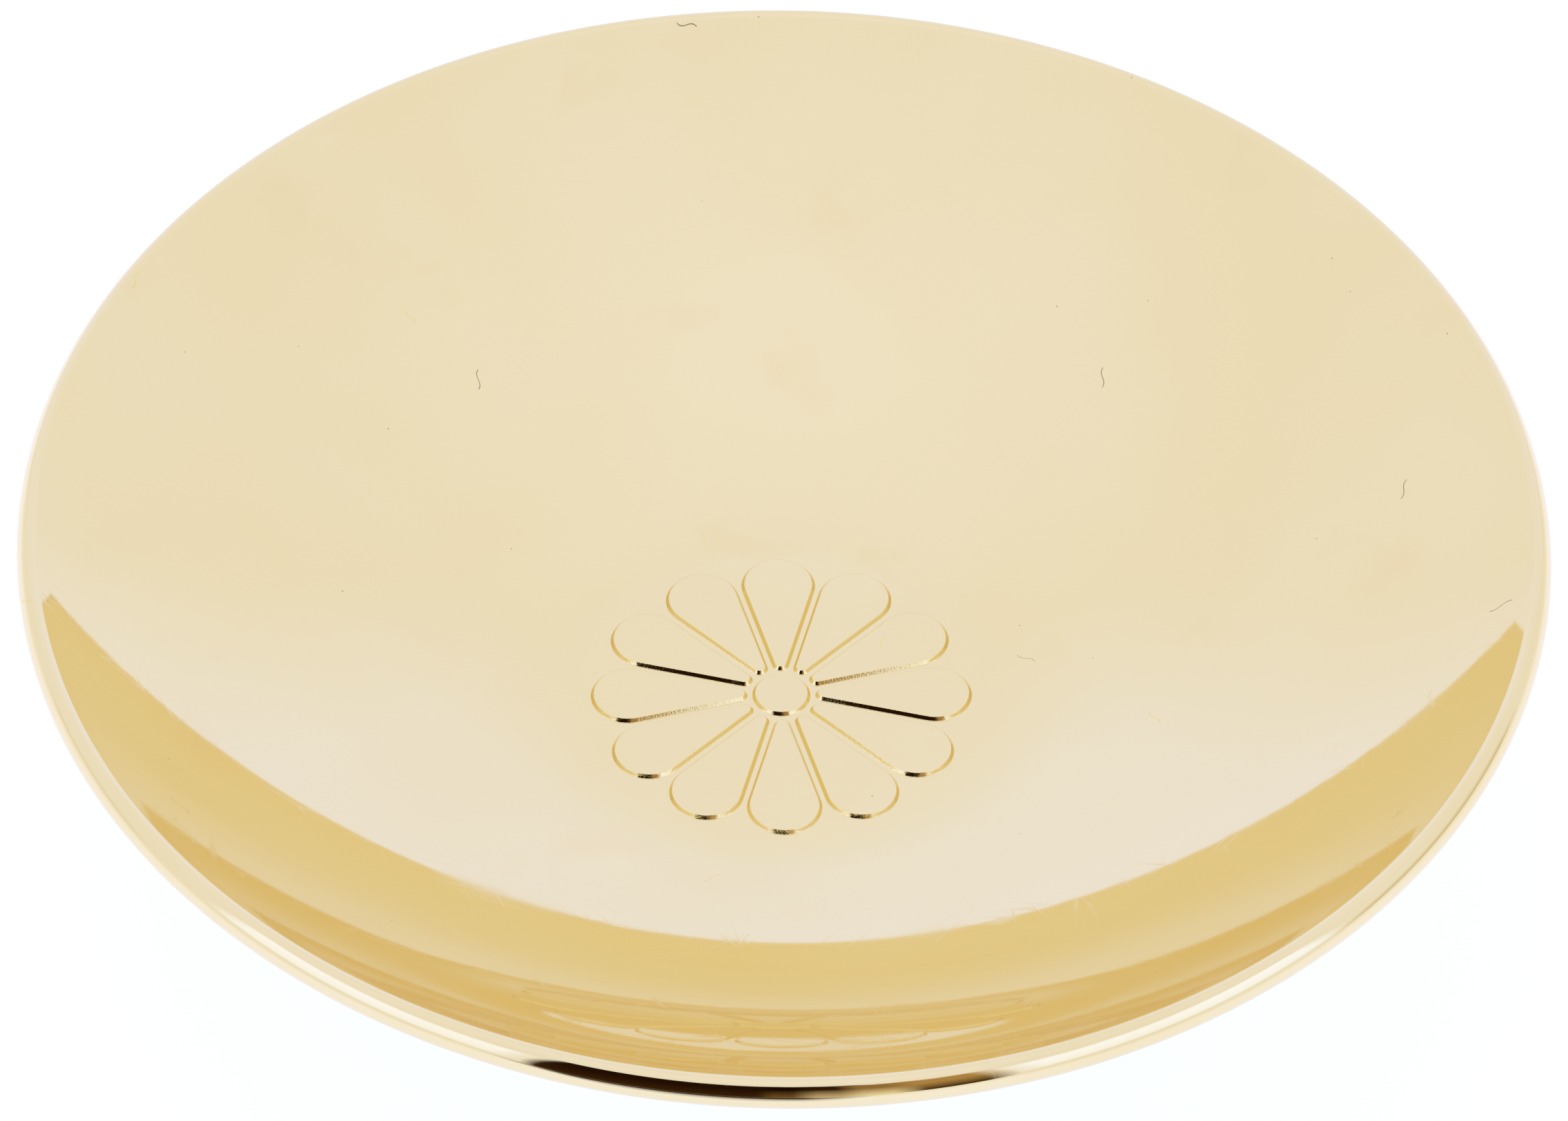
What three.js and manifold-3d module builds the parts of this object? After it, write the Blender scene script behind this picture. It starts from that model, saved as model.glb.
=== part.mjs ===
// A small footed offering dish in gold-plated brass: a shallow spun bowl with a struck rosette on its floor,
// an edge rolled round a core wire, and a tapered foot ring soldered underneath.
// Millimetres, +Z up. The origin is the centre of the circle that the foot ring stands on.
import * as THREE from 'three';
import { mergeVertices } from 'three/addons/utils/BufferGeometryUtils.js';
import Module from 'manifold-3d';

const wasm = await Module();
wasm.setup();

// Driving dimensions.
const RIM_DIAMETER = 90.9;         // over the rolled edge
const SHEET = 0.5;                 // thickness of the bowl's sheet
const LIP_TOP_RADIUS = 0.54;       // the tight bend along the top of the rolled edge
const LIP_SHOULDER_RADIUS = 1.65;  // the flatter band outside it
const LIP_SIDE_RADIUS = 1.0;       // the roll's outside and underside
const LIP_SHOULDER_TOP = 48;       // where the flatter band starts and stops: the way its surface faces,
const LIP_SHOULDER_FOOT = 23;      //   in degrees up from straight out
const LIP_END = -144;              // the way the surface faces where the roll stops
const WIRE_RADIUS = 0.35;          // core wire inside the roll
const WIRE_SHIFT = 0.09;           // from the centre of the roll's side towards the roll's outside
const FLOOR_RADIUS = 12.0;         // the flat middle of the bowl
const FLOOR_FILLET = 23.6;         // radius of the curve from the floor into the wall
const WALL_ARC = 57.6;             // radius of the wall's own curve
const WALL_END_SLOPE = 44.2;       // slope of the wall where it meets the rolled edge, degrees
const PETALS = 12;
const ROSETTE_TURN = 2;            // how far the rosette is turned from square to the row's axes, degrees
const PETAL_REACH = 11.53;         // from the axis to the tip of a petal
const PETAL_GAP = 0.29;            // floor left between neighbouring petals
const BOSS_RADIUS = 1.76;          // the round boss in the middle of the rosette
const RELIEF_HEIGHT = 0.25;        // how far petals and boss stand above the floor
const RELIEF_BEVEL = 0.2;          // width of their sloping edge
const FOOT_HEIGHT = 7.0;           // from the table to the underside of the bowl's floor
const FOOT_BASE_RADIUS = 18.0;     // outside of the foot ring at the table
const FOOT_NECK_RADIUS = 15.6;     // outside of the foot ring under the bowl
const FOOT_WALL = 0.8;             // thickness of the foot ring's wall
const FOOT_LIP_HEIGHT = 0.9;       // the upright lip that the foot ring stands on
const SOLDER_LEG = 0.8;            // length of the solder fillet along the foot ring and along the bowl
const JOINT_GAP = 0.02;            // between separate pieces that touch
const TURNS = 60;                  // facets round every turned piece

const radians = THREE.MathUtils.degToRad;

// The bowl's section is a chain of arcs that run smoothly into each other, from the roll's side in to the floor.
// Each is found from its neighbour's centre and the way the surface faces where they meet.
const endSlope = radians(WALL_END_SLOPE);
const facingWall = Math.PI / 2 + endSlope;
const shoulderTop = radians(LIP_SHOULDER_TOP);
const shoulderFoot = radians(LIP_SHOULDER_FOOT);

function along(centre, distance, angle) {
  return new THREE.Vector2(centre.x + distance * Math.cos(angle), centre.y + distance * Math.sin(angle));
}

const sideR = RIM_DIAMETER / 2 - LIP_SIDE_RADIUS;
const fromSide = new THREE.Vector2(0, 0);
const shoulderOffset = along(fromSide, LIP_SIDE_RADIUS - LIP_SHOULDER_RADIUS, shoulderFoot);
const topOffset = along(shoulderOffset, LIP_SHOULDER_RADIUS - LIP_TOP_RADIUS, shoulderTop);
const wallOffset = along(topOffset, LIP_TOP_RADIUS + WALL_ARC, facingWall);
const blendSlope = Math.asin((FLOOR_RADIUS - sideR - wallOffset.x) / (WALL_ARC - FLOOR_FILLET));

const floorTop = FOOT_HEIGHT + SHEET;
const filletCentre = new THREE.Vector2(FLOOR_RADIUS, floorTop + FLOOR_FILLET);
const wallCentre = along(filletCentre, WALL_ARC - FLOOR_FILLET, Math.PI / 2 + blendSlope);
const sideCentre = wallCentre.clone().sub(wallOffset);
const shoulderCentre = sideCentre.clone().add(shoulderOffset);
const topCentre = sideCentre.clone().add(topOffset);

// Points along an arc of the section, both ends included.
function arc(centre, radius, from, to, steps) {
  const points = [];
  for (let i = 0; i <= steps; i += 1) {
    points.push(along(centre, radius, from + (to - from) * i / steps));
  }
  return points;
}

// The bowl's surface at a depth under its inside face, from the flat floor up to the rolled edge.
function bowlCurve(depth, filletSteps, wallSteps) {
  const down = -Math.PI / 2;
  const fillet = arc(filletCentre, FLOOR_FILLET + depth, down, down + blendSlope, filletSteps);
  const wall = arc(wallCentre, WALL_ARC + depth, down + blendSlope, down + endSlope, wallSteps);
  return [...fillet, ...wall.slice(1)];
}

// The rolled edge at a depth under its outside face, from the wall over the top and round underneath.
// It has a point exactly where it is highest and another where it is widest.
function lipCurve(depth) {
  return [
    ...arc(topCentre, LIP_TOP_RADIUS - depth, facingWall, Math.PI / 2, 2),
    ...arc(topCentre, LIP_TOP_RADIUS - depth, Math.PI / 2, shoulderTop, 2).slice(1),
    ...arc(shoulderCentre, LIP_SHOULDER_RADIUS - depth, shoulderTop, shoulderFoot, 2).slice(1),
    ...arc(sideCentre, LIP_SIDE_RADIUS - depth, shoulderFoot, 0, 1).slice(1),
    ...arc(sideCentre, LIP_SIDE_RADIUS - depth, 0, radians(LIP_END), 6).slice(1),
  ];
}

// Height of the bowl's underside at a radius within the curve from the floor.
function undersideAt(r) {
  const radius = FLOOR_FILLET + SHEET;
  return filletCentre.y - Math.sqrt(radius ** 2 - (r - FLOOR_RADIUS) ** 2);
}

// Turns a section round the axis; the section runs anticlockwise, with its radius as x and its height as y.
function turned(section) {
  const geometry = new THREE.LatheGeometry(section, TURNS);
  geometry.rotateX(Math.PI / 2);
  return geometry;
}

function closed(section) {
  return [...section, section[0].clone()];
}

// Between three.js geometry and solids that can be joined.
function toSolid(geometry) {
  const bare = geometry.index ? geometry.toNonIndexed() : geometry.clone();
  bare.deleteAttribute('normal');
  bare.deleteAttribute('uv');
  const merged = mergeVertices(bare, 1e-4);
  const index = merged.index.array;
  const kept = [];
  for (let i = 0; i < index.length; i += 3) {
    const [a, b, c] = index.slice(i, i + 3);
    if (a !== b && b !== c && c !== a) kept.push(a, b, c);
  }
  return new wasm.Manifold(new wasm.Mesh({
    numProp: 3,
    vertProperties: new Float32Array(merged.attributes.position.array),
    triVerts: new Uint32Array(kept),
  }));
}

function toGeometry(solid) {
  const mesh = solid.getMesh();
  const geometry = new THREE.BufferGeometry();
  geometry.setAttribute('position', new THREE.BufferAttribute(new Float32Array(mesh.vertProperties), 3));
  geometry.setIndex(new THREE.BufferAttribute(new Uint32Array(mesh.triVerts), 1));
  geometry.computeVertexNormals();
  return geometry;
}

// One petal lying along +X: straight sides that keep half a gap to its neighbours, and two round ends.
function petalShape() {
  const half = Math.PI / PETALS;
  const spread = Math.sin(half);
  const tipR = (PETAL_REACH + PETAL_GAP / 2) / (1 + spread);
  const rootR = (BOSS_RADIUS + PETAL_GAP / 2) / (1 - spread);
  const shape = new THREE.Shape();
  const turn = Math.PI / 2 + half;
  shape.absarc(tipR, 0, tipR * spread - PETAL_GAP / 2, -turn, turn, false);
  shape.absarc(rootR, 0, rootR * spread - PETAL_GAP / 2, turn, 2 * Math.PI - turn, false);
  return shape;
}

// Everything struck up out of the floor has the same height and the same sloping edge.
function struck(shape, curveSegments) {
  const root = 0.02;
  const geometry = new THREE.ExtrudeGeometry(shape, {
    depth: root,
    bevelEnabled: true,
    bevelThickness: RELIEF_HEIGHT,
    bevelSize: RELIEF_BEVEL,
    bevelOffset: -RELIEF_BEVEL,
    bevelSegments: 1,
    curveSegments,
  });
  geometry.translate(0, 0, floorTop - root);
  return geometry;
}

function dish() {
  const section = [
    new THREE.Vector2(0, FOOT_HEIGHT),
    ...bowlCurve(SHEET, 2, 6),
    ...lipCurve(SHEET).slice(1),
    ...lipCurve(0).reverse(),
    ...bowlCurve(0, 3, 8).reverse().slice(1),
    new THREE.Vector2(0, floorTop),
  ];
  let solid = toSolid(turned(section));
  const petal = struck(petalShape(), 8);
  for (let i = 0; i < PETALS; i += 1) {
    const copy = petal.clone().rotateZ(2 * Math.PI * i / PETALS + radians(ROSETTE_TURN));
    solid = solid.add(toSolid(copy));
  }
  const boss = new THREE.Shape().absarc(0, 0, BOSS_RADIUS, 0, 2 * Math.PI, false);
  return toGeometry(solid.add(toSolid(struck(boss, 12))));
}

function rimWire() {
  const centre = along(sideCentre, WIRE_SHIFT, facingWall + Math.PI);
  return turned(closed(arc(centre, WIRE_RADIUS, 0, 2 * Math.PI * 7 / 8, 7)));
}

// The foot ring's outside, from the top of its lip up to its neck, is a hollow quarter curve.
function footCurve(inset) {
  const top = FOOT_HEIGHT * 0.72;
  const flare = FOOT_BASE_RADIUS - FOOT_NECK_RADIUS;
  const points = [];
  for (let i = 0; i <= 5; i += 1) {
    const angle = Math.PI / 2 * i / 5;
    const r = FOOT_BASE_RADIUS - inset - flare * Math.sin(angle);
    const z = FOOT_LIP_HEIGHT + (top - FOOT_LIP_HEIGHT) * (1 - Math.cos(angle));
    points.push(new THREE.Vector2(r, z));
  }
  return points;
}

function footRing() {
  const neckInside = FOOT_NECK_RADIUS - FOOT_WALL;
  const top = undersideAt(neckInside) - JOINT_GAP;
  return turned(closed([
    new THREE.Vector2(FOOT_BASE_RADIUS - FOOT_WALL, 0),
    new THREE.Vector2(FOOT_BASE_RADIUS, 0),
    ...footCurve(0),
    new THREE.Vector2(FOOT_NECK_RADIUS, top),
    new THREE.Vector2(neckInside, top),
    ...footCurve(FOOT_WALL).reverse(),
  ]));
}

// The fillet's free face is hollow; its two legs lie along the foot ring and along the bowl.
function footSolder() {
  const inside = FOOT_NECK_RADIUS + JOINT_GAP;
  const outside = inside + SOLDER_LEG;
  const corner = new THREE.Vector2(inside, undersideAt(inside) - JOINT_GAP);
  const outer = new THREE.Vector2(outside, undersideAt(outside) - JOINT_GAP);
  const lower = new THREE.Vector2(inside, corner.y - SOLDER_LEG);
  const middle = new THREE.Vector2(inside + SOLDER_LEG * 0.3, corner.y - SOLDER_LEG * 0.25);
  return turned(closed([lower, middle, outer, corner]));
}

function piece(name, geometry, color, roughness) {
  const material = new THREE.MeshStandardMaterial({ color, roughness, metalness: 1 });
  const mesh = new THREE.Mesh(geometry, material);
  mesh.name = name;
  return mesh;
}

const offeringDish = new THREE.Group();
offeringDish.add(
  piece('dish', dish(), 0xe8cd8a, 0.06),
  piece('rim_wire', rimWire(), 0xc9a45c, 0.35),
  piece('foot_ring', footRing(), 0xe3c682, 0.1),
  piece('foot_solder', footSolder(), 0xdcbf7c, 0.25),
);

export default offeringDish;
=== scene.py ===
from math import asin, atan2, cos, pi, radians, sin, sqrt, tan

import bmesh
import bpy
from mathutils import Matrix, Vector


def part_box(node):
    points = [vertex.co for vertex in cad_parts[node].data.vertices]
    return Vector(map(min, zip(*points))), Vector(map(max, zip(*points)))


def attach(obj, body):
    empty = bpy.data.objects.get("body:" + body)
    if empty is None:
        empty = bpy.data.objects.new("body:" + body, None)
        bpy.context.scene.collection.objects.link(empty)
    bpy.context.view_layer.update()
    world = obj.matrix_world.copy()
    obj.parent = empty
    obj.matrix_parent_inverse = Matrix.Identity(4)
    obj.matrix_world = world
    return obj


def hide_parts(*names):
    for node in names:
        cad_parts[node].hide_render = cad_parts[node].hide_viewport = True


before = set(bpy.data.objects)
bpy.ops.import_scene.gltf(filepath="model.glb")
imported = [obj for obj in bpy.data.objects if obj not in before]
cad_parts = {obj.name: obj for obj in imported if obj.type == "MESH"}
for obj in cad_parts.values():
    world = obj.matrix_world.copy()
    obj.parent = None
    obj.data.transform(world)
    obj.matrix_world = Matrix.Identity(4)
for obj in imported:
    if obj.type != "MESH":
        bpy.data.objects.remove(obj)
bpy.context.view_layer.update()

# ---------------------------------------------------------------------------------------------------------
# The bowl. One disc of brass sheet, spun to a shallow curve, with its edge rolled over and under into a
# smooth lip and a petalled rosette struck up from its flat floor. It is polished like a mirror and gilt.
# ---------------------------------------------------------------------------------------------------------

MM = 0.001
bowl_low, bowl_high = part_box("dish")
SHEET = 0.5 * MM
RIM_RADIUS = bowl_high.x
FLOOR_TOP = bowl_low.z + SHEET
FLOOR_RADIUS = 12.0 * MM
FLOOR_FILLET = 23.6 * MM
WALL_ARC = 57.6 * MM
WALL_END_SLOPE = radians(44.2)
LIP_TOP_RADIUS = 0.54 * MM
LIP_SHOULDER_RADIUS = 1.65 * MM
LIP_SIDE_RADIUS = 1.0 * MM
LIP_SHOULDER_TOP = radians(48)
LIP_SHOULDER_FOOT = radians(23)
LIP_END = radians(-144)
BOWL_TURNS = 480


def along(centre, distance, angle):
    return (centre[0] + distance * cos(angle), centre[1] + distance * sin(angle))


def arc(centre, radius, start, end, steps):
    return [along(centre, radius, start + (end - start) * i / steps) for i in range(steps + 1)]


# The section is a chain of arcs that run smoothly into each other, each found from its neighbour's centre.
FACING_WALL = pi / 2 + WALL_END_SLOPE
shoulder_offset = along((0, 0), LIP_SIDE_RADIUS - LIP_SHOULDER_RADIUS, LIP_SHOULDER_FOOT)
top_offset = along(shoulder_offset, LIP_SHOULDER_RADIUS - LIP_TOP_RADIUS, LIP_SHOULDER_TOP)
wall_offset = along(top_offset, LIP_TOP_RADIUS + WALL_ARC, FACING_WALL)
wall_centre_r = RIM_RADIUS - LIP_SIDE_RADIUS + wall_offset[0]
BLEND_SLOPE = asin((FLOOR_RADIUS - wall_centre_r) / (WALL_ARC - FLOOR_FILLET))
fillet_centre = (FLOOR_RADIUS, FLOOR_TOP + FLOOR_FILLET)
wall_centre = along(fillet_centre, WALL_ARC - FLOOR_FILLET, pi / 2 + BLEND_SLOPE)
side_centre = (wall_centre[0] - wall_offset[0], wall_centre[1] - wall_offset[1])
shoulder_centre = (side_centre[0] + shoulder_offset[0], side_centre[1] + shoulder_offset[1])
top_centre = (side_centre[0] + top_offset[0], side_centre[1] + top_offset[1])
RIM_HEIGHT = side_centre[1]


def bowl_curve(depth, fillet_steps, wall_steps):
    """The bowl's surface at a depth under its inside face, from the floor's edge up to the lip."""
    down = -pi / 2
    fillet = arc(fillet_centre, FLOOR_FILLET + depth, down, down + BLEND_SLOPE, fillet_steps)
    wall = arc(wall_centre, WALL_ARC + depth, down + BLEND_SLOPE, down + WALL_END_SLOPE, wall_steps)
    return fillet + wall[1:]


def lip_curve(depth, fineness):
    """The rolled edge at a depth under its outside face, from the wall over the top and round underneath."""
    # Each span has its centre, radius, first and last angle, and its steps at a fineness of 1.
    spans = [
        (top_centre, LIP_TOP_RADIUS, FACING_WALL, pi / 2, 5),
        (top_centre, LIP_TOP_RADIUS, pi / 2, LIP_SHOULDER_TOP, 4),
        (shoulder_centre, LIP_SHOULDER_RADIUS, LIP_SHOULDER_TOP, LIP_SHOULDER_FOOT, 4),
        (side_centre, LIP_SIDE_RADIUS, LIP_SHOULDER_FOOT, 0, 2),
        (side_centre, LIP_SIDE_RADIUS, 0, LIP_END, 10),
    ]
    points = []
    for centre, radius, start, end, steps in spans:
        points += arc(centre, radius - depth, start, end, steps * fineness)[1 if points else 0:]
    return points


def polyline(name, points, closed=False):
    """A section as a mesh of edges, with its radius as x and its height as z."""
    mesh = bpy.data.meshes.new(name)
    edges = [(i, i + 1) for i in range(len(points) - 1)]
    if closed:
        edges.append((len(points) - 1, 0))
    mesh.from_pydata([(r, 0, z) for r, z in points], edges, [])
    section = bpy.data.objects.new(name, mesh)
    bpy.context.scene.collection.objects.link(section)
    return section


def new_tree(name, inputs):
    """A geometry tree with a Geometry input and output and the named inputs given."""
    tree = bpy.data.node_groups.new(name, "GeometryNodeTree")
    tree.interface.new_socket("Geometry", in_out="INPUT", socket_type="NodeSocketGeometry")
    for label, kind in inputs:
        tree.interface.new_socket(label, in_out="INPUT", socket_type=kind)
    tree.interface.new_socket("Geometry", in_out="OUTPUT", socket_type="NodeSocketGeometry")
    return tree, tree.nodes.new("NodeGroupInput"), tree.nodes.new("NodeGroupOutput")


def maths(tree, operation, first, second=None):
    """A Math node; each value is a socket or a number."""
    node = tree.nodes.new("ShaderNodeMath")
    node.operation = operation
    for socket, value in zip(node.inputs, (first, second)):
        if isinstance(value, bpy.types.NodeSocket):
            tree.links.new(value, socket)
        elif value is not None:
            socket.default_value = value
    return node.outputs[0]


def apply_tree(source, tree, settings):
    """Runs a tree on an object and gives back the result as a plain mesh object."""
    modifier = source.modifiers.new(tree.name, "NODES")
    modifier.node_group = tree
    for item in tree.interface.items_tree:
        if item.in_out == "INPUT" and item.name in settings:
            modifier[item.identifier] = settings[item.name]
    evaluated = source.evaluated_get(bpy.context.evaluated_depsgraph_get())
    mesh = bpy.data.meshes.new_from_object(evaluated)
    source.modifiers.remove(modifier)
    name = source.name
    bpy.data.objects.remove(source)
    piece = bpy.data.objects.new(name, mesh)
    bpy.context.scene.collection.objects.link(piece)
    return piece


SEAM_WELD = 0.0005 * MM


def turning_tree():
    """Turns a section about the axis: a grid with one row of points for each point of the section."""
    tree, inside, outside = new_tree(
        "turned_section",
        [("Turns", "NodeSocketInt"), ("Closed", "NodeSocketInt"), ("Finish", "NodeSocketMaterial")],
    )
    size = tree.nodes.new("GeometryNodeAttributeDomainSize")
    size.component = "MESH"
    tree.links.new(inside.outputs["Geometry"], size.inputs["Geometry"])
    rows = maths(tree, "ADD", size.outputs["Point Count"], inside.outputs["Closed"])
    columns = maths(tree, "ADD", inside.outputs["Turns"], 1.0)
    grid = tree.nodes.new("GeometryNodeMeshGrid")
    tree.links.new(rows, grid.inputs["Vertices X"])
    tree.links.new(columns, grid.inputs["Vertices Y"])
    index = tree.nodes.new("GeometryNodeInputIndex").outputs["Index"]
    row = maths(tree, "FLOOR", maths(tree, "DIVIDE", maths(tree, "ADD", index, 0.5), columns))
    wrapped = maths(tree, "MODULO", row, size.outputs["Point Count"])
    column = maths(tree, "SUBTRACT", index, maths(tree, "MULTIPLY", row, columns))
    sample = tree.nodes.new("GeometryNodeSampleIndex")
    sample.data_type = "FLOAT_VECTOR"
    tree.links.new(inside.outputs["Geometry"], sample.inputs["Geometry"])
    tree.links.new(tree.nodes.new("GeometryNodeInputPosition").outputs[0], sample.inputs["Value"])
    tree.links.new(wrapped, sample.inputs["Index"])
    angle = maths(tree, "DIVIDE", maths(tree, "MULTIPLY", column, 2 * pi), inside.outputs["Turns"])
    rotate = tree.nodes.new("ShaderNodeVectorRotate")
    rotate.rotation_type = "Z_AXIS"
    tree.links.new(sample.outputs[0], rotate.inputs["Vector"])
    tree.links.new(angle, rotate.inputs["Angle"])
    place = tree.nodes.new("GeometryNodeSetPosition")
    tree.links.new(grid.outputs["Mesh"], place.inputs["Geometry"])
    tree.links.new(rotate.outputs[0], place.inputs["Position"])
    weld = tree.nodes.new("GeometryNodeMergeByDistance")
    weld.inputs["Distance"].default_value = SEAM_WELD
    outwards = tree.nodes.new("GeometryNodeFlipFaces")
    smooth = tree.nodes.new("GeometryNodeSetShadeSmooth")
    realize = tree.nodes.new("GeometryNodeRealizeInstances")
    finish = tree.nodes.new("GeometryNodeSetMaterial")
    tree.links.new(place.outputs[0], weld.inputs["Geometry"])
    tree.links.new(weld.outputs[0], outwards.inputs[0])
    tree.links.new(outwards.outputs[0], smooth.inputs["Geometry"])
    tree.links.new(smooth.outputs[0], realize.inputs["Geometry"])
    tree.links.new(realize.outputs[0], finish.inputs["Geometry"])
    tree.links.new(inside.outputs["Finish"], finish.inputs["Material"])
    tree.links.new(finish.outputs[0], outside.inputs["Geometry"])
    return tree


turned_section = turning_tree()


def turned(name, points, turns, material, closed=False):
    """A piece turned from a section that runs anticlockwise, so that its faces point outwards."""
    section = polyline(name, points, closed)
    settings = {"Turns": turns, "Closed": int(closed), "Finish": material}
    return apply_tree(section, turned_section, settings)


# The rosette: a round boss and a ring of petals, all struck to one height with the same sloping edge.
PETALS = 12
ROSETTE_TURN = radians(2)
PETAL_REACH = 11.53 * MM
PETAL_GAP = 0.29 * MM
BOSS_RADIUS = 1.76 * MM
BOSS_TURNS = 96
PETAL_TIP_STEPS = 40
PETAL_ROOT_STEPS = 14
# The sloping edge in section, as (distance in from its foot, height): a crisp slope, eased at foot and top.
RELIEF_EDGE = [(0, 0), (0.02, 0.012), (0.045, 0.04), (0.15, 0.205), (0.178, 0.238), (0.2, 0.25)]


def petal():
    """One petal along +X: an open shell of sloping edge and flat top."""
    half = pi / PETALS
    spread = sin(half)
    tip = (PETAL_REACH + PETAL_GAP / 2) / (1 + spread)
    root = (BOSS_RADIUS + PETAL_GAP / 2) / (1 - spread)
    turn = pi / 2 + half
    bm = bmesh.new()
    loops = []
    for inset, height in RELIEF_EDGE:
        cut_back = PETAL_GAP / 2 + inset * MM
        outline = arc((tip, 0), tip * spread - cut_back, -turn, turn, PETAL_TIP_STEPS)
        outline += arc((root, 0), root * spread - cut_back, turn, 2 * pi - turn, PETAL_ROOT_STEPS)
        loops.append([bm.verts.new((x, y, FLOOR_TOP + height * MM)) for x, y in outline])
    for low, high in zip(loops, loops[1:]):
        for i, corner in enumerate(low):
            bm.faces.new((low[i - 1], corner, high[i], high[i - 1])).smooth = True
    bm.faces.new(loops[-1])
    mesh = bpy.data.meshes.new("petal")
    bm.to_mesh(mesh)
    bm.free()
    shell = bpy.data.objects.new("petal", mesh)
    bpy.context.scene.collection.objects.link(shell)
    return shell


def repeating_tree():
    """Copies a shape round the axis, Count times, starting at Turn."""
    tree, inside, outside = new_tree(
        "ring_of_petals",
        [("Count", "NodeSocketInt"), ("Turn", "NodeSocketFloat"), ("Finish", "NodeSocketMaterial")],
    )
    points = tree.nodes.new("GeometryNodePoints")
    tree.links.new(inside.outputs["Count"], points.inputs["Count"])
    index = tree.nodes.new("GeometryNodeInputIndex").outputs["Index"]
    share = maths(tree, "DIVIDE", maths(tree, "MULTIPLY", index, 2 * pi), inside.outputs["Count"])
    rotation = tree.nodes.new("ShaderNodeCombineXYZ")
    tree.links.new(maths(tree, "ADD", share, inside.outputs["Turn"]), rotation.inputs["Z"])
    copies = tree.nodes.new("GeometryNodeInstanceOnPoints")
    tree.links.new(points.outputs[0], copies.inputs["Points"])
    tree.links.new(inside.outputs["Geometry"], copies.inputs["Instance"])
    tree.links.new(rotation.outputs[0], copies.inputs["Rotation"])
    realize = tree.nodes.new("GeometryNodeRealizeInstances")
    finish = tree.nodes.new("GeometryNodeSetMaterial")
    tree.links.new(copies.outputs[0], realize.inputs["Geometry"])
    tree.links.new(realize.outputs[0], finish.inputs["Geometry"])
    tree.links.new(inside.outputs["Finish"], finish.inputs["Material"])
    tree.links.new(finish.outputs[0], outside.inputs["Geometry"])
    return tree


# Finishes are built from small patterns, each on Object coordinates in millimetres.
def new_finish(name, base, roughness, metallic=1.0):
    """A material with its Principled shader, and the Object coordinates scaled to millimetres."""
    material = bpy.data.materials.new(name)
    material.use_nodes = True
    tree = material.node_tree
    shader = tree.nodes["Principled BSDF"]
    shader.inputs["Base Color"].default_value = (*base, 1)
    shader.inputs["Metallic"].default_value = metallic
    shader.inputs["Roughness"].default_value = roughness
    place = tree.nodes.new("ShaderNodeTexCoord")
    scale = tree.nodes.new("ShaderNodeVectorMath")
    scale.operation = "SCALE"
    scale.inputs["Scale"].default_value = 1 / MM
    tree.links.new(place.outputs["Object"], scale.inputs[0])
    return material, tree, shader, scale.outputs[0]


def noise(tree, vector, scale, detail=2.0, roughness=0.5):
    """A soft random pattern from 0 to 1; a scale of 1 gives patches of about a millimetre."""
    node = tree.nodes.new("ShaderNodeTexNoise")
    node.inputs["Scale"].default_value = scale
    node.inputs["Detail"].default_value = detail
    node.inputs["Roughness"].default_value = roughness
    tree.links.new(vector, node.inputs["Vector"])
    return node.outputs["Fac"]


def ramp(tree, value, low, high, at_low=0.0, at_high=1.0):
    """Maps low..high to at_low..at_high, clamped. On a noise, low and high say how much of it shows."""
    node = tree.nodes.new("ShaderNodeMapRange")
    labels = ("From Min", "From Max", "To Min", "To Max")
    for label, number in zip(labels, (low, high, at_low, at_high)):
        node.inputs[label].default_value = number
    tree.links.new(value, node.inputs["Value"])
    return node.outputs["Result"]


def blend(tree, factor, first, second):
    """Mixes two colours; each is a socket or three numbers."""
    node = tree.nodes.new("ShaderNodeMix")
    node.data_type = "RGBA"
    tree.links.new(factor, node.inputs["Factor"])
    for label, value in (("A", first), ("B", second)):
        socket = [s for s in node.inputs if s.name == label and s.type == "RGBA"][0]
        if isinstance(value, bpy.types.NodeSocket):
            tree.links.new(value, socket)
        else:
            socket.default_value = (*value, 1)
    return [s for s in node.outputs if s.type == "RGBA"][0]


def round_the_axis(tree, vector, across, around):
    """Coordinates for marks that run round the axis: fine across them and long along them."""
    split = tree.nodes.new("ShaderNodeSeparateXYZ")
    tree.links.new(vector, split.inputs[0])
    flat = tree.nodes.new("ShaderNodeCombineXYZ")
    tree.links.new(split.outputs["X"], flat.inputs["X"])
    tree.links.new(split.outputs["Y"], flat.inputs["Y"])
    length = tree.nodes.new("ShaderNodeVectorMath")
    length.operation = "LENGTH"
    tree.links.new(flat.outputs[0], length.inputs[0])
    direction = tree.nodes.new("ShaderNodeVectorMath")
    direction.operation = "NORMALIZE"
    tree.links.new(flat.outputs[0], direction.inputs[0])
    turn = tree.nodes.new("ShaderNodeSeparateXYZ")
    tree.links.new(direction.outputs[0], turn.inputs[0])
    made = tree.nodes.new("ShaderNodeCombineXYZ")
    reach = maths(tree, "ADD", length.outputs["Value"], split.outputs["Z"])
    tree.links.new(maths(tree, "MULTIPLY", reach, across), made.inputs["X"])
    tree.links.new(maths(tree, "MULTIPLY", turn.outputs["X"], around), made.inputs["Y"])
    tree.links.new(maths(tree, "MULTIPLY", turn.outputs["Y"], around), made.inputs["Z"])
    return made.outputs[0]


HAIRLINE_WIDTH = 0.02
HAIRLINE_FADE = 0.08


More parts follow.
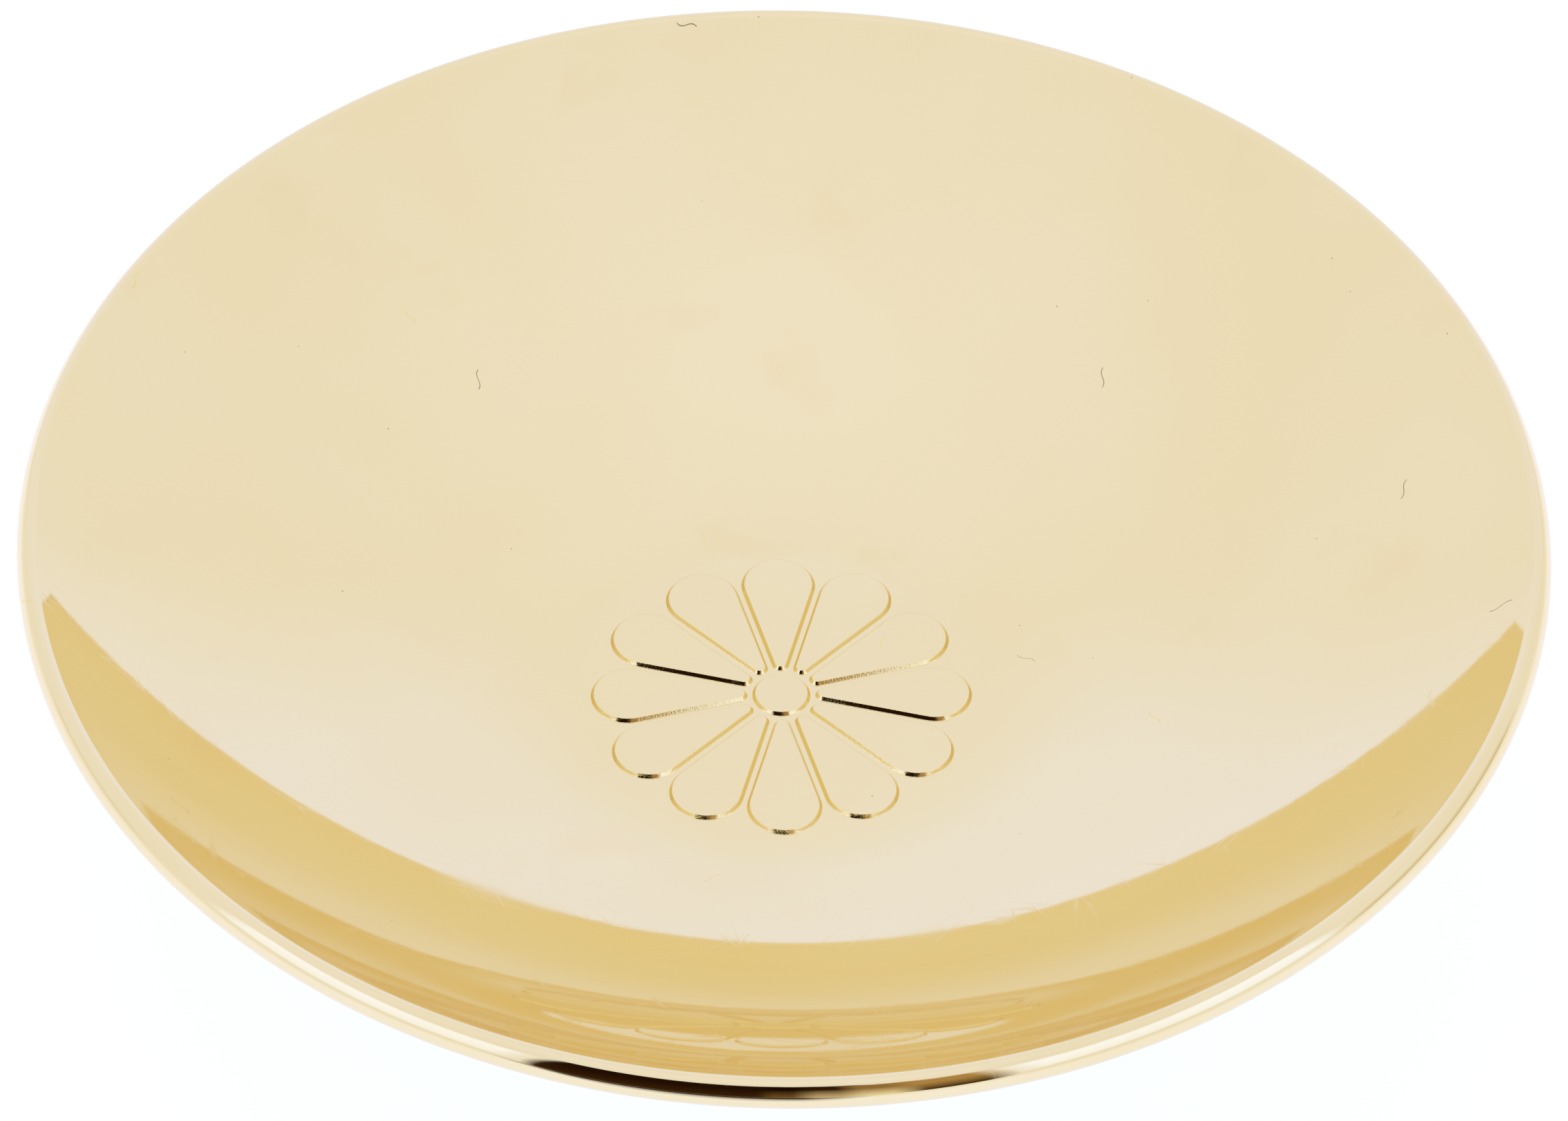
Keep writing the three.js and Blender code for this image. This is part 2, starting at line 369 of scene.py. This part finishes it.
def hairlines(tree, vector, heading, spacing, length, rarity):
    """Thin straight scratches in one heading: the edges of very long cells, broken up by a slow noise."""
    turn = tree.nodes.new("ShaderNodeMapping")
    turn.inputs["Rotation"].default_value = (0, 0, radians(heading))
    # Each heading reads its own part of the pattern.
    turn.inputs["Location"].default_value = (heading * 0.37, heading * 0.11, 0)
    tree.links.new(vector, turn.inputs["Vector"])
    stretch = tree.nodes.new("ShaderNodeVectorMath")
    stretch.operation = "MULTIPLY"
    stretch.inputs[1].default_value = (1 / length, 1 / spacing, 0.2)
    tree.links.new(turn.outputs[0], stretch.inputs[0])
    cells = tree.nodes.new("ShaderNodeTexVoronoi")
    cells.feature = "DISTANCE_TO_EDGE"
    cells.inputs["Scale"].default_value = 1
    tree.links.new(stretch.outputs[0], cells.inputs["Vector"])
    line = ramp(tree, cells.outputs["Distance"], 0.0, HAIRLINE_WIDTH, at_low=1.0, at_high=0.0)
    where = ramp(tree, noise(tree, turn.outputs[0], scale=0.21, detail=1.0), rarity, rarity + HAIRLINE_FADE)
    return maths(tree, "MULTIPLY", line, where)


LINT_SWAYS = 5
LINT_BEND = 0.16


def lint(tree, vector, spacing, length, width, rarity):
    """Short bent fibres lying here and there at their own angles, and a random number for each."""
    cells = tree.nodes.new("ShaderNodeTexVoronoi")
    cells.voronoi_dimensions = "2D"
    cells.inputs["Scale"].default_value = 1 / spacing
    tree.links.new(vector, cells.inputs["Vector"])
    chance = tree.nodes.new("ShaderNodeSeparateColor")
    tree.links.new(cells.outputs["Color"], chance.inputs[0])
    local = tree.nodes.new("ShaderNodeVectorMath")
    local.operation = "SUBTRACT"
    tree.links.new(vector, local.inputs[0])
    tree.links.new(cells.outputs["Position"], local.inputs[1])
    turn = tree.nodes.new("ShaderNodeVectorRotate")
    turn.rotation_type = "Z_AXIS"
    tree.links.new(local.outputs[0], turn.inputs["Vector"])
    tree.links.new(maths(tree, "MULTIPLY", chance.outputs["Red"], 2 * pi), turn.inputs["Angle"])
    run = tree.nodes.new("ShaderNodeSeparateXYZ")
    tree.links.new(turn.outputs[0], run.inputs[0])
    sway = maths(tree, "SINE", maths(tree, "MULTIPLY", run.outputs["X"], LINT_SWAYS / length))
    bend = maths(tree, "MULTIPLY", sway, LINT_BEND)
    away = maths(tree, "ABSOLUTE", maths(tree, "SUBTRACT", run.outputs["Y"], bend))
    fibre = ramp(tree, away, width * 0.4, width, at_low=1.0, at_high=0.0)
    ends = maths(tree, "ABSOLUTE", run.outputs["X"])
    ends = ramp(tree, ends, length * 0.45, length * 0.5, at_low=1.0, at_high=0.0)
    chosen = ramp(tree, chance.outputs["Blue"], rarity, rarity + 0.001)
    return maths(tree, "MULTIPLY", maths(tree, "MULTIPLY", fibre, ends), chosen), chance.outputs["Green"]


def bump(tree, height, distance, shader, strength=1.0, under=None):
    """Relief at the shader's normal; a second one is laid over the first by giving it as under."""
    node = tree.nodes.new("ShaderNodeBump")
    node.inputs["Strength"].default_value = strength
    node.inputs["Distance"].default_value = distance
    tree.links.new(height, node.inputs["Height"])
    if under is not None:
        tree.links.new(under, node.inputs["Normal"])
    tree.links.new(node.outputs["Normal"], shader.inputs["Normal"])
    return node.outputs["Normal"]


GILT = (0.890, 0.752, 0.400)
GILT_PALE = (0.896, 0.766, 0.422)
GILT_RED = (0.886, 0.722, 0.376)
GILT_SLOPE_SHADE = (0.860, 0.690, 0.270)
DUST = (0.32, 0.25, 0.16)
DARK_LINT = (0.13, 0.08, 0.04)
GILT_LINT = (0.92, 0.74, 0.22)
MIRROR_POLISH = 0.035
DUST_DENSITY = 0.9
WAVE_HEIGHT = 0.002 * MM
RING_HEIGHT = 0.00004 * MM
HAIRLINE_DEPTH = 0.00022 * MM
STRUCK_GRAIN = 0.006 * MM
# Each set of hairlines as (heading in degrees, spacing, length, rarity).
HAIRLINES = [(12, 1.3, 16, 0.54), (63, 1.9, 22, 0.57), (131, 1.6, 12, 0.58)]


def gilt_mirror():
    """Gilding over a mirror polish: tints that drift a little, painted shade on the relief's sloping edges,
    dust, lint, turning marks and hairlines.
    """
    material, tree, shader, place = new_finish("gilt_mirror", GILT, MIRROR_POLISH)
    drift = ramp(tree, noise(tree, place, scale=0.055), 0.38, 0.62)
    stain = noise(tree, place, scale=0.13, detail=3.0, roughness=0.6)
    stain = ramp(tree, stain, 0.60, 0.74, at_high=0.55)
    tint = blend(tree, drift, GILT, GILT_PALE)
    tint = blend(tree, stain, tint, GILT_RED)

    specks = tree.nodes.new("ShaderNodeTexVoronoi")
    specks.inputs["Scale"].default_value = DUST_DENSITY
    tree.links.new(place, specks.inputs["Vector"])
    chosen = tree.nodes.new("ShaderNodeSeparateColor")
    tree.links.new(specks.outputs["Color"], chosen.inputs[0])
    speck = ramp(tree, specks.outputs["Distance"], 0.03, 0.07, at_low=1.0, at_high=0.0)
    dust = maths(tree, "MULTIPLY", speck, ramp(tree, chosen.outputs["Red"], 0.95, 0.955))
    tint = blend(tree, maths(tree, "MULTIPLY", dust, 0.6), tint, DUST)
    # Painted shade: the relief's sloping edges are coloured a darker, deeper gold. The same mask also gives
    # them a struck grain in the bump below.
    slope_grain_and_shade = tree.nodes.new("ShaderNodeAttribute")
    slope_grain_and_shade.attribute_name = "slope_grain_and_painted_shade"
    tint = blend(tree, maths(tree, "MULTIPLY", slope_grain_and_shade.outputs["Fac"], 0.6), tint, GILT_SLOPE_SHADE)
    fibre, kind = lint(tree, place, spacing=7.0, length=1.3, width=0.035, rarity=0.87)
    lint_tint = blend(tree, ramp(tree, kind, 0.45, 0.5), DARK_LINT, GILT_LINT)
    tint = blend(tree, maths(tree, "MULTIPLY", fibre, 0.75), tint, lint_tint)
    tree.links.new(tint, shader.inputs["Base Color"])

    rings = noise(tree, round_the_axis(tree, place, across=6.0, around=2.2), scale=1.0, roughness=0.6)
    smear = noise(tree, place, scale=0.09, detail=3.0, roughness=0.55)
    smear = ramp(tree, smear, 0.52, 0.75, at_high=0.05)
    lines = hairlines(tree, place, *HAIRLINES[0])
    for marks in HAIRLINES[1:]:
        lines = maths(tree, "MAXIMUM", lines, hairlines(tree, place, *marks))
    rough = maths(tree, "ADD", ramp(tree, rings, 0.35, 0.7, at_low=0.03, at_high=0.05), smear)
    rough = maths(tree, "ADD", rough, maths(tree, "MULTIPLY", lines, 0.10))
    rough = maths(tree, "ADD", rough, maths(tree, "MULTIPLY", maths(tree, "MAXIMUM", dust, fibre), 0.45))
    under = tree.nodes.new("ShaderNodeAttribute")
    under.attribute_name = "underside"
    rough = maths(tree, "ADD", rough, maths(tree, "MULTIPLY", under.outputs["Fac"], 0.07))
    tree.links.new(rough, shader.inputs["Roughness"])

    waves = noise(tree, round_the_axis(tree, place, across=0.35, around=1.1), scale=1.0, detail=1.0)
    slow = bump(tree, waves, WAVE_HEIGHT, shader)
    fine = bump(tree, rings, RING_HEIGHT, shader, under=slow)
    scored = bump(tree, maths(tree, "SUBTRACT", 1.0, lines), HAIRLINE_DEPTH, shader, under=fine)
    grain = noise(tree, place, scale=9.0, roughness=0.6)
    grain = maths(tree, "MULTIPLY", grain, slope_grain_and_shade.outputs["Fac"])
    bump(tree, grain, STRUCK_GRAIN, shader, under=scored)
    return material


FLOOR_FILL_INSET = 0.2 * MM
RELIEF_WELD = 0.0002 * MM
MANY_SIDED = 20
FLAT_ENOUGH = 0.99
FACING_DOWN = -0.3


def make_bowl():
    """The turned sheet, the boss and the petals as one closed mesh, with the floor filled in round them."""
    finish = gilt_mirror()
    fill_radius = FLOOR_RADIUS - FLOOR_FILL_INSET
    section = [(0, FLOOR_TOP - SHEET)]
    section += bowl_curve(SHEET, fillet_steps=6, wall_steps=18)
    section += lip_curve(SHEET, fineness=1)[1:]
    section += lip_curve(0, fineness=2)[::-1]
    section += bowl_curve(0, fillet_steps=12, wall_steps=34)[::-1][1:]
    section.append((fill_radius, FLOOR_TOP))
    bowl = turned("bowl", section, BOWL_TURNS, finish)
    boss_edge = [(BOSS_RADIUS - inset * MM, FLOOR_TOP + height * MM) for inset, height in RELIEF_EDGE]
    boss = turned("boss", boss_edge, BOSS_TURNS, finish)
    settings = {"Count": PETALS, "Turn": ROSETTE_TURN, "Finish": finish}
    petals = apply_tree(petal(), repeating_tree(), settings)

    bm = bmesh.new()
    for part in (bowl, boss, petals):
        bm.from_mesh(part.data)
    bmesh.ops.remove_doubles(bm, verts=bm.verts, dist=RELIEF_WELD)
    half_height = RELIEF_EDGE[-1][1] * MM / 2
    boss_top = [e for e in bm.edges if e.is_boundary and e.verts[0].co.z > FLOOR_TOP + half_height]
    bmesh.ops.contextual_create(bm, geom=boss_top)
    floor_edges = [e for e in bm.edges if e.is_boundary]
    filled = bmesh.ops.triangle_fill(bm, use_beauty=True, edges=floor_edges, normal=(0, 0, 1))
    floor_faces = [f for f in filled["geom"] if isinstance(f, bmesh.types.BMFace)]
    for face in bm.faces:
        face.smooth = True
    tops = [f for f in bm.faces if len(f.verts) > MANY_SIDED]
    for face in floor_faces + tops:
        for edge in face.edges:
            if any(abs(other.normal.z) < FLAT_ENOUGH for other in edge.link_faces):
                edge.smooth = False
    underside = bm.verts.layers.float.new("underside")
    # A mask of the relief's sloping edges, used for their painted shade and their struck grain.
    slope_grain_and_shade = bm.verts.layers.float.new("slope_grain_and_painted_shade")
    bm.normal_update()
    slope_foot = FLOOR_TOP + RELIEF_EDGE[1][1] * MM / 2
    slope_top = FLOOR_TOP + (RELIEF_EDGE[-2][1] + RELIEF_EDGE[-1][1]) * MM / 2
    for vert in bm.verts:
        on_floor = vert.co.xy.length < fill_radius
        vert[underside] = float(vert.normal.z < FACING_DOWN)
        vert[slope_grain_and_shade] = float(on_floor and slope_foot < vert.co.z < slope_top)
    bm.to_mesh(bowl.data)
    bm.free()
    for part in (boss, petals):
        bpy.data.objects.remove(part)
    bowl.data.materials.clear()
    bowl.data.materials.append(finish)
    return bowl


bowl = make_bowl()
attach(bowl, "root")
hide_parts("dish")

# ---------------------------------------------------------------------------------------------------------
# The core wire. Drawn brass wire bent to a hoop, which the bowl's edge is rolled round to keep it true.
# It shows only through the slit where the roll stops under the lip.
# ---------------------------------------------------------------------------------------------------------

WIRE_RADIUS = 0.35 * MM
WIRE_SHIFT = 0.09 * MM
WIRE_STEPS = 16
WIRE_TURNS = 240
BRASS = (0.62, 0.43, 0.18)
BRASS_TARNISH = (0.42, 0.27, 0.11)
DRAWING_MARKS = 0.002 * MM


def drawn_brass():
    """Dull drawn wire: streaks along its length and a little tarnish."""
    material, tree, shader, place = new_finish("drawn_brass", BRASS, 0.35)
    tarnish = ramp(tree, noise(tree, place, scale=0.4, detail=3.0), 0.4, 0.7)
    tree.links.new(blend(tree, tarnish, BRASS, BRASS_TARNISH), shader.inputs["Base Color"])
    streaks = noise(tree, round_the_axis(tree, place, across=30.0, around=1.5), scale=1.0)
    tree.links.new(ramp(tree, streaks, 0.3, 0.7, at_low=0.28, at_high=0.45), shader.inputs["Roughness"])
    bump(tree, streaks, DRAWING_MARKS, shader)
    return material


wire_centre = along(side_centre, WIRE_SHIFT, FACING_WALL + pi)
wire_section = arc(wire_centre, WIRE_RADIUS, 0, 2 * pi, WIRE_STEPS)[:-1]
wire = turned("rim_core_wire", wire_section, WIRE_TURNS, drawn_brass(), closed=True)
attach(wire, "root")
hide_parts("rim_wire")

# ---------------------------------------------------------------------------------------------------------
# The foot. A short flared ring spun from the same sheet, polished and gilt with the bowl. It stands on a
# narrow flat lip, where the gilding is rubbed.
# ---------------------------------------------------------------------------------------------------------

foot_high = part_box("foot_ring")[1]
FOOT_BASE_RADIUS = foot_high.x
FOOT_NECK_RADIUS = 15.6 * MM
FOOT_WALL = 0.8 * MM
FOOT_LIP_HEIGHT = 0.9 * MM
FOOT_CURVE_TOP = bowl_low.z * 0.72
FOOT_EDGE_EASE = 0.09 * MM
FOOT_TURNS = 320
GILT_RUBBED = (0.80, 0.62, 0.30)
FOOT_RING_HEIGHT = 0.0006 * MM
NICK_DEPTH = 0.02 * MM


def gilt_foot():
    """The bowl's gilding with turning marks, duller where it is handled and rubbed on the standing edge."""
    material, tree, shader, place = new_finish("gilt_foot", GILT, 0.08)
    height = tree.nodes.new("ShaderNodeSeparateXYZ")
    tree.links.new(place, height.inputs[0])
    patchy = ramp(tree, noise(tree, place, scale=0.7, detail=3.0), 0.35, 0.65)
    patchy = maths(tree, "MULTIPLY", patchy, 0.35)
    edge = maths(tree, "ADD", height.outputs["Z"], patchy)
    edge = ramp(tree, edge, 0.05, 0.42, at_low=1.0, at_high=0.0)
    drift = ramp(tree, noise(tree, place, scale=0.12), 0.4, 0.6)
    tint = blend(tree, drift, GILT, GILT_PALE)
    tree.links.new(blend(tree, edge, tint, GILT_RUBBED), shader.inputs["Base Color"])
    rings = round_the_axis(tree, place, across=7.0, around=2.0)
    rings = noise(tree, rings, scale=1.0, detail=3.0, roughness=0.6)
    rough = ramp(tree, rings, 0.3, 0.7, at_low=0.05, at_high=0.12)
    rough = maths(tree, "ADD", rough, maths(tree, "MULTIPLY", edge, 0.25))
    tree.links.new(rough, shader.inputs["Roughness"])
    slow = bump(tree, rings, FOOT_RING_HEIGHT, shader)
    nicks = ramp(tree, noise(tree, place, scale=3.5, detail=3.0), 0.62, 0.70)
    bump(tree, maths(tree, "MULTIPLY", nicks, edge), NICK_DEPTH, shader, strength=-1.0, under=slow)
    return material


def foot_curve(inset, steps):
    """The hollow quarter curve from the top of the standing lip up to the neck."""
    flare = FOOT_BASE_RADIUS - FOOT_NECK_RADIUS
    rise = FOOT_CURVE_TOP - FOOT_LIP_HEIGHT
    points = []
    for i in range(steps + 1):
        angle = pi / 2 * i / steps
        r = FOOT_BASE_RADIUS - inset - flare * sin(angle)
        points.append((r, FOOT_LIP_HEIGHT + rise * (1 - cos(angle))))
    return points


NEARLY_STRAIGHT = radians(150)


def eased(points, ease):
    """Rounds the corners of a closed section by a small radius, with three points for each corner."""
    made = []
    for i, (r, z) in enumerate(points):
        here = Vector((r, z))
        back = Vector(points[i - 1]) - here
        ahead = Vector(points[(i + 1) % len(points)]) - here
        if back.angle(ahead) > NEARLY_STRAIGHT:
            made.append((r, z))
            continue
        a = here + back.normalized() * min(ease, back.length * 0.4)
        b = here + ahead.normalized() * min(ease, ahead.length * 0.4)
        made += [tuple(a), tuple((a + b + here * 2) / 4), tuple(b)]
    return made


foot_section = [(FOOT_BASE_RADIUS - FOOT_WALL, 0), (FOOT_BASE_RADIUS, 0)]
foot_section += foot_curve(0, steps=28)
foot_section += [(FOOT_NECK_RADIUS, foot_high.z), (FOOT_NECK_RADIUS - FOOT_WALL, foot_high.z)]
foot_section += foot_curve(FOOT_WALL, steps=20)[::-1]
foot = turned("foot", eased(foot_section, FOOT_EDGE_EASE), FOOT_TURNS, gilt_foot(), closed=True)
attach(foot, "root")
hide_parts("foot_ring")

# ---------------------------------------------------------------------------------------------------------
# The solder. A thin fillet run round the neck of the foot to fix it under the bowl, then gilt over. Its
# face is slightly uneven, as run solder is.
# ---------------------------------------------------------------------------------------------------------

JOINT_GAP = 0.02 * MM
SOLDER_LEG = 0.8 * MM
SOLDER_STEPS = 8
SWELL = 0.05 * MM
LEAST_SOLDER = 0.01 * MM
SOLDER_GILT = (0.87, 0.73, 0.41)
SOLDER_PIT = (0.55, 0.40, 0.18)
RIPPLE_HEIGHT = 0.03 * MM
PIT_DEPTH = 0.02 * MM


def gilt_solder():
    """Run solder under gilding: satin, with small ripples and pits."""
    material, tree, shader, place = new_finish("gilt_solder", SOLDER_GILT, 0.25)
    ripple = noise(tree, place, scale=1.6, detail=3.0)
    pits = ramp(tree, noise(tree, place, scale=5.0), 0.66, 0.72)
    tree.links.new(blend(tree, pits, SOLDER_GILT, SOLDER_PIT), shader.inputs["Base Color"])
    tree.links.new(ramp(tree, ripple, 0.35, 0.65, at_low=0.2, at_high=0.34), shader.inputs["Roughness"])
    slow = bump(tree, ripple, RIPPLE_HEIGHT, shader)
    bump(tree, pits, PIT_DEPTH, shader, strength=-1.0, under=slow)
    return material


def underside_at(r):
    """The height of the bowl's underside at a radius in its floor fillet."""
    radius = FLOOR_FILLET + SHEET
    return fillet_centre[1] - sqrt(radius ** 2 - (r - FLOOR_RADIUS) ** 2)


def make_solder():
    """A hollow-faced fillet whose face swells and thins a little round the ring."""
    inside = FOOT_NECK_RADIUS + JOINT_GAP
    corner = (inside, underside_at(inside) - JOINT_GAP)
    face = []
    for i in range(SOLDER_STEPS + 1):
        angle = pi / 2 * i / SOLDER_STEPS
        r = inside + SOLDER_LEG * (1 - cos(angle))
        z = corner[1] - SOLDER_LEG * (1 - sin(angle))
        face.append((r, min(z, underside_at(r) - JOINT_GAP)))
    reaches = [inside + SOLDER_LEG * share for share in (1, 0.66, 0.33)]
    roof = [(r, underside_at(r) - JOINT_GAP) for r in reaches]
    section = face[:-1] + roof + [corner]
    piece = turned("foot_solder_seam", section, FOOT_TURNS, gilt_solder(), closed=True)
    for vert in piece.data.vertices:
        r = vert.co.xy.length
        depth = corner[1] - vert.co.z
        if r > inside + LEAST_SOLDER and depth > SWELL:
            turn = atan2(vert.co.y, vert.co.x)
            wave = sin(5 * turn + 0.6) + 0.6 * sin(13 * turn) + 0.4 * sin(31 * turn + 2.0)
            thinned = max(inside + LEAST_SOLDER, r - abs(SWELL * wave / 2))
            vert.co.xy *= thinned / r
    return piece


solder = make_solder()
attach(solder, "root")
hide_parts("foot_solder")

# ---------------------------------------------------------------------------------------------------------
# The setting: a lit white table in a white room, with a softbox to each side of the camera and the dark of
# the camera's place between them. None of it is part of the dish.
# ---------------------------------------------------------------------------------------------------------

TABLE_HALF = 2.5
LIT_RADIUS = 0.11
UNLIT_RADIUS = 0.30
ACRYLIC = (0.10, 0.10, 0.10)
GLOW_AT_DISH = (0.908, 0.954, 1.32)
GLOW_FAR_OUT = (0.83, 0.83, 0.98)


def staged_card(name, corners, material):
    mesh = bpy.data.meshes.new(name)
    mesh.from_pydata(corners, [], [tuple(range(len(corners)))])
    mesh.materials.append(material)
    made = bpy.data.objects.new(name, mesh)
    bpy.context.scene.collection.objects.link(made)
    return made


def table_top():
    """Milky acrylic lit from beneath round the dish, so that it is nearly white even under the dish."""
    material, tree, shader, place = new_finish("milky_acrylic", ACRYLIC, 0.9, metallic=0.0)
    shader.inputs["Specular IOR Level"].default_value = 0.1
    shader.inputs["Emission Strength"].default_value = 1.0
    across = tree.nodes.new("ShaderNodeVectorMath")
    across.operation = "LENGTH"
    tree.links.new(place, across.inputs[0])
    falloff = ramp(tree, across.outputs["Value"], LIT_RADIUS / MM, UNLIT_RADIUS / MM)
    tree.links.new(blend(tree, falloff, GLOW_AT_DISH, GLOW_FAR_OUT), shader.inputs["Emission Color"])
    return material


# The colour of the painted shade laid over the table in front of the dish, seen only in reflections.
PAINTED_TABLE_SHADE = (0.030, 0.013, 0.004)
# The apron's sides as slopes from straight ahead, each with the width over which the shade fades out.
APRON_LEFT = (tan(radians(-38)), tan(radians(-28)))
APRON_RIGHT = (tan(radians(4)), tan(radians(14)))
# The square roots of the distances in metres at which its shade starts and is full.
APRON_DEPTH = (0.18, 0.46)


def apron_shade():
    """Painted shade of the unlit table in front of the dish, on a card seen only in reflections: clear at
    the dish, darker and darker towards the camera.
    """
    material = bpy.data.materials.new("apron_shade")
    material.use_nodes = True
    tree = material.node_tree
    tree.nodes.clear()
    place = tree.nodes.new("ShaderNodeSeparateXYZ")
    tree.links.new(tree.nodes.new("ShaderNodeTexCoord").outputs["Object"], place.inputs[0])
    distance = maths(tree, "MULTIPLY", maths(tree, "ADD", place.outputs["Y"], RIM_RADIUS), -1.0)
    depth = ramp(tree, maths(tree, "POWER", distance, 0.5), *APRON_DEPTH)
    side = maths(tree, "DIVIDE", place.outputs["X"], distance)
    left = ramp(tree, side, *APRON_LEFT)
    right = ramp(tree, side, *APRON_RIGHT, at_low=1.0, at_high=0.0)
    clear = tree.nodes.new("ShaderNodeBsdfTransparent")
    dark = tree.nodes.new("ShaderNodeEmission")
    dark.inputs["Color"].default_value = (*PAINTED_TABLE_SHADE, 1)
    mix = tree.nodes.new("ShaderNodeMixShader")
    output = tree.nodes.new("ShaderNodeOutputMaterial")
    tree.links.new(maths(tree, "MULTIPLY", depth, maths(tree, "MULTIPLY", left, right)), mix.inputs[0])
    tree.links.new(clear.outputs[0], mix.inputs[1])
    tree.links.new(dark.outputs[0], mix.inputs[2])
    tree.links.new(mix.outputs[0], output.inputs["Surface"])
    return material


def level_card(name, far, far_half, near, near_half, height, material):
    """A flat four-cornered card with its far edge towards the camera."""
    far_side = [(-far_half, far, height), (far_half, far, height)]
    near_side = [(near_half, near, height), (-near_half, near, height)]
    return staged_card(name, far_side + near_side, material)


level_card("table", -TABLE_HALF, TABLE_HALF, TABLE_HALF, TABLE_HALF, 0, table_top())
# A card of painted shade over the table, hidden from the camera and seen only in the metal.
shade = apron_shade()
apron = level_card("apron", far=-1.6, far_half=1.2, near=-0.09, near_half=0.3, height=MM, material=shade)
for ray in ("camera", "diffuse", "shadow", "transmission"):
    setattr(apron, "visible_" + ray, False)

ROOM_LOW = (0.925, 0.938, 1.15)
ROOM_HIGH = (0.957, 0.98, 1.26)
MIRROR_BOUNCES = 10
# What the metal sees round it: (left, right, foot, top, softness) in degrees, with the colour at its foot
# and at its top. Headings are from the camera's side, positive to the right. Each is laid over those before
# it, and the dark ones overlap, so that no white shows between them.
SURROUNDINGS = [
    ((-205, -146, -30, 42, 16), (0.935, 0.98, 1.41), (0.935, 0.98, 1.38)),
    ((146, 205, -30, 42, 16), (0.935, 0.98, 1.41), (0.935, 0.98, 1.38)),
    ((-112, -90, -3, 7, 5), (0.87, 0.86, 0.97), (0.87, 0.86, 0.97)),
    ((78, 112, -8, 10, 6), (0.70, 0.64, 0.58), (0.82, 0.79, 0.80)),
    ((-76, -34, 6, 36, 5), (1.03, 1.13, 1.65), (1.10, 1.20, 1.88)),
    ((32, 76, 6, 37, 5), (1.04, 1.15, 1.74), (1.09, 1.22, 1.97)),
    ((-31, 1, -30, 44.5, 2), (0.042, 0.016, 0.004), (0.016, 0.006, 0.0015)),
    ((-1, 6.5, -30, 45, 2), (0.17, 0.095, 0.035), (0.012, 0.004, 0.001)),
    ((4, 13, -30, 45.5, 3), (0.62, 0.50, 0.36), (0.03, 0.012, 0.002)),
    ((10, 20.5, -30, 43, 3), (0.88, 0.80, 0.66), (0.30, 0.18, 0.07)),
    ((17, 29, -30, 42, 4), (0.045, 0.024, 0.005), (0.46, 0.29, 0.12)),
]


def white_room():
    """The room as a colour for each direction. Deep in the bowl, light turns more than four times."""
    world = bpy.data.worlds.new("white_room")
    bpy.context.scene.world = world
    bpy.context.scene.cycles.glossy_bounces = MIRROR_BOUNCES
    world.use_nodes = True
    tree = world.node_tree
    look = tree.nodes.new("ShaderNodeSeparateXYZ")
    tree.links.new(tree.nodes.new("ShaderNodeTexCoord").outputs["Generated"], look.inputs[0])
    ahead = maths(tree, "MULTIPLY", look.outputs["Y"], -1.0)
    heading = maths(tree, "MULTIPLY", maths(tree, "ARCTAN2", look.outputs["X"], ahead), 180 / pi)
    rise = maths(tree, "MULTIPLY", maths(tree, "ARCSINE", look.outputs["Z"]), 180 / pi)
    colour = blend(tree, ramp(tree, rise, 40, 85), ROOM_LOW, ROOM_HIGH)
    for (left, right, foot, top, soft), low_tint, high_tint in SURROUNDINGS:
        half = soft / 2
        tint = blend(tree, ramp(tree, rise, max(foot, 2), top * 0.7), low_tint, high_tint)
        mask = ramp(tree, heading, left - half, left + half)
        for value, edge, before, after in ((heading, right, 1, 0), (rise, foot, 0, 1), (rise, top, 1, 0)):
            fade = ramp(tree, value, edge - half, edge + half, before, after)
            mask = maths(tree, "MULTIPLY", mask, fade)
        colour = blend(tree, mask, colour, tint)
    tree.links.new(colour, tree.nodes["Background"].inputs["Color"])


white_room()

SOFTBOX_SIZE = 0.9
SOFTBOX_WATTS = 4.0
SOFTBOX_PLACE = (-0.15, 0.25, 1.1)
lamp_data = bpy.data.lights.new("overhead_softbox", "AREA")
lamp_data.shape = "SQUARE"
lamp_data.size = SOFTBOX_SIZE
lamp_data.energy = SOFTBOX_WATTS
lamp = bpy.data.objects.new("overhead_softbox", lamp_data)
lamp.location = SOFTBOX_PLACE
lamp.rotation_euler = (Vector((0, 0, 0)) - lamp.location).to_track_quat("-Z", "Y").to_euler()
lamp.visible_glossy = False
bpy.context.scene.collection.objects.link(lamp)

VIEW_DISTANCE = 0.5208
VIEW_ELEVATION = radians(45.0)
VIEW_ROLL = radians(1.107)
AIM_BELOW_RIM = 2.82 * MM
SENSOR_WIDTH = 36
LENS = 201.6
rim_centre = Vector((0, 0, RIM_HEIGHT))
camera_data = bpy.data.cameras.new("camera")
camera_data.sensor_width = SENSOR_WIDTH
camera_data.lens = LENS
camera = bpy.data.objects.new("camera", camera_data)
bpy.context.scene.collection.objects.link(camera)
camera.location = rim_centre + VIEW_DISTANCE * Vector((0, -cos(VIEW_ELEVATION), sin(VIEW_ELEVATION)))
aim = rim_centre - Vector((0, 0, AIM_BELOW_RIM))
facing = (aim - camera.location).to_track_quat("-Z", "Y")
camera.rotation_mode = "QUATERNION"
camera.rotation_quaternion = facing @ Matrix.Rotation(VIEW_ROLL, 3, "Z").to_quaternion()
bpy.context.scene.camera = camera
bpy.context.scene.view_settings.view_transform = "Standard"
